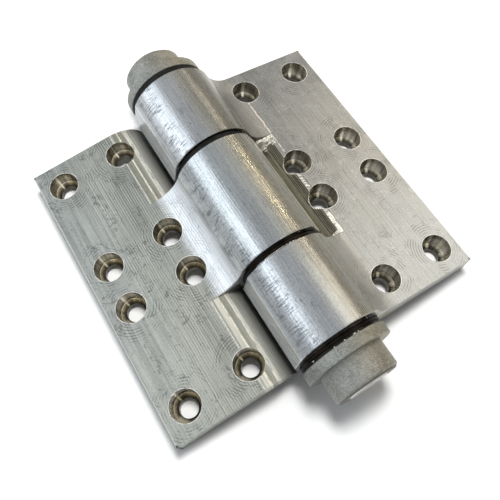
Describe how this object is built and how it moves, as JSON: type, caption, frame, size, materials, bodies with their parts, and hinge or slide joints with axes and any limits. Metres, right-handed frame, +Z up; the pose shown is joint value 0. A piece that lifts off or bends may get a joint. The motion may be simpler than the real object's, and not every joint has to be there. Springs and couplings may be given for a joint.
{
  "type": "butt hinge",
  "caption": "Heavy butt hinge with a long middle knuckle between two end knuckles, capped pin, thrust bearings and countersunk leaves, lying open face up.",
  "frame": {"origin": "on the surface the hinge lies on, under the middle of the pin", "axes": "+Y along the pin to the top end, +X across to the leaf with two knuckles, +Z up from the surface towards the countersunk faces' side"},
  "size_m": [0.1638, 0.1986, 0.0453],
  "materials": {
    "cool_machined_steel": "milled, with fine lines along the leaf and rings round the holes",
    "warm_machined_steel": "milled, slightly yellow, with rings round the holes",
    "ground_pin_steel": "ground",
    "blasted_steel": "blasted matt, speckled",
    "black_screw_steel": "blackened",
    "bush_bronze": "machined bronze",
    "black_ring": "matt black",
    "bearing_steel": "polished and oiled",
    "cage_steel": "pressed, browned"
  },
  "bodies": {
    "end_knuckle_side": {"end_knuckle_leaf": "warm_machined_steel", "top_inner_bush": "bush_bronze", "top_outer_bush": "bush_bronze", "bottom_inner_bush": "bush_bronze", "bottom_outer_bush": "bush_bronze", "inner_bearing_lower_washer": "bearing_steel", "outer_bearing_upper_washer": "bearing_steel"},
    "middle_knuckle_side": {"middle_knuckle_leaf": "cool_machined_steel", "hinge_pin": "ground_pin_steel", "top_cap": "blasted_steel", "bottom_cap": "blasted_steel", "top_cap_grub_screw": "black_screw_steel", "bottom_cap_grub_screw": "black_screw_steel", "top_inner_ring": "black_ring", "top_outer_ring": "black_ring", "inner_bearing_upper_washer": "bearing_steel", "outer_bearing_lower_washer": "bearing_steel"},
    "inner_bearing_roller_set": {"inner_bearing_cage": "cage_steel", "inner_bearing_rollers": "bearing_steel"},
    "outer_bearing_roller_set": {"outer_bearing_cage": "cage_steel", "outer_bearing_rollers": "bearing_steel"}
  },
  "joints": [
    {"name": "leaf_swing", "type": "hinge", "parent": "end_knuckle_side", "child": "middle_knuckle_side", "pos_m": [0, 0, 0.02265], "axis": [0, 1, 0], "range_deg": [-77, 192.9]},
    {"name": "inner_roller_set_turn", "type": "hinge", "parent": "end_knuckle_side", "child": "inner_bearing_roller_set", "pos_m": [0, -0.0312, 0.02265], "axis": [0, 1, 0], "range_deg": [-38.6, 96.5]},
    {"name": "outer_roller_set_turn", "type": "hinge", "parent": "end_knuckle_side", "child": "outer_bearing_roller_set", "pos_m": [0, -0.07825, 0.02265], "axis": [0, 1, 0], "range_deg": [-38.6, 96.5]}
  ],
  "couplings": [
    {"joint": "inner_roller_set_turn", "follows": "leaf_swing", "ratio": 0.5},
    {"joint": "outer_roller_set_turn", "follows": "leaf_swing", "ratio": 0.5}
  ]
}
